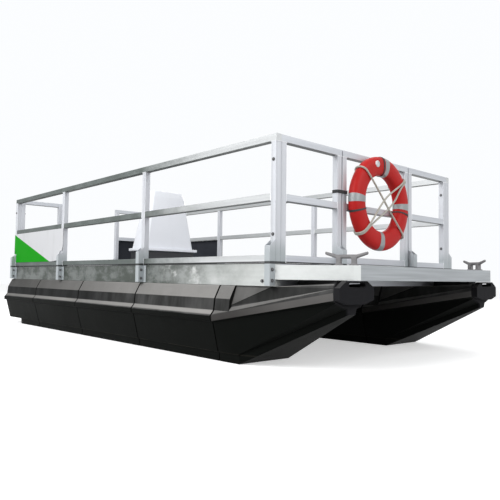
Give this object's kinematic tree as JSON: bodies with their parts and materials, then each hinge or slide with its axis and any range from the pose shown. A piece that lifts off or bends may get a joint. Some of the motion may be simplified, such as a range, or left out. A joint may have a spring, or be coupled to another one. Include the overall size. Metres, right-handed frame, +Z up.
{
  "type": "pontoon boat",
  "caption": "Open work pontoon boat: black moulded twin floats, aluminium deck frame, square-tube guard rails with a hinged bow gate, lifebuoy and steering stand.",
  "frame": {"origin": "on the ground under the middle of the overall length and breadth, level with the keels", "axes": "+X to the bow, +Y to port, +Z up"},
  "size_m": [5.34, 2.48, 1.616],
  "materials": {
    "board_sheet": "printed green and white outside, dark inside",
    "buoy_shell": "satin",
    "cleat_metal": "cast",
    "deck_metal": "ribbed, mill",
    "float_plastic": "moulded, satin",
    "frame_metal": "mill, weathered",
    "hinge_metal": "plain",
    "latch_rubber": "plain",
    "motor_wood": "plain",
    "stand_dark": "plain",
    "stand_white": "smooth"
  },
  "bodies": {
    "hull": {"bow_cheeks": "frame_metal", "bow_fascia": "frame_metal", "bow_platform_bearers": "frame_metal", "bow_platform_plate": "deck_metal", "bow_rail_posts": "frame_metal", "bow_rails": "frame_metal", "deck_planks": "deck_metal", "end_beams": "frame_metal", "gate_hinge_pins": "hinge_metal", "gate_latch": "latch_rubber", "inner_beams": "frame_metal", "motor_board": "motor_wood", "motor_cheeks": "frame_metal", "port_cleat": "cleat_metal", "port_float_bow": "float_plastic", "port_float_mid_1": "float_plastic", "port_float_mid_2": "float_plastic", "port_float_mid_3": "float_plastic", "port_float_stern": "float_plastic", "port_rail_posts": "frame_metal", "port_rails": "frame_metal", "port_side_beam": "frame_metal", "port_side_board": "board_sheet", "rail_brackets": "frame_metal", "stand_ledge": "stand_white", "stand_plinth": "stand_dark", "stand_shell": "stand_white", "starboard_cleat": "cleat_metal", "starboard_float_bow": "float_plastic", "starboard_float_mid_1": "float_plastic", "starboard_float_mid_2": "float_plastic", "starboard_float_mid_3": "float_plastic", "starboard_float_stern": "float_plastic", "starboard_rail_posts": "frame_metal", "starboard_rails": "frame_metal", "starboard_side_beam": "frame_metal", "starboard_side_board": "board_sheet", "stern_boards": "board_sheet", "stern_rail_posts": "frame_metal", "stern_rails": "frame_metal", "tunnel_bearers": "frame_metal"},
    "gate": {"gate_hinge_eyes": "hinge_metal", "gate_rails": "frame_metal", "gate_stiles": "frame_metal", "lifebuoy": "buoy_shell"}
  },
  "joints": [
    {"name": "gate_swing", "type": "hinge", "parent": "hull", "child": "gate", "pos_m": [2.107, 0.452, 1.165], "axis": [0, 0, -1], "range_deg": [0, 100]}
  ]
}
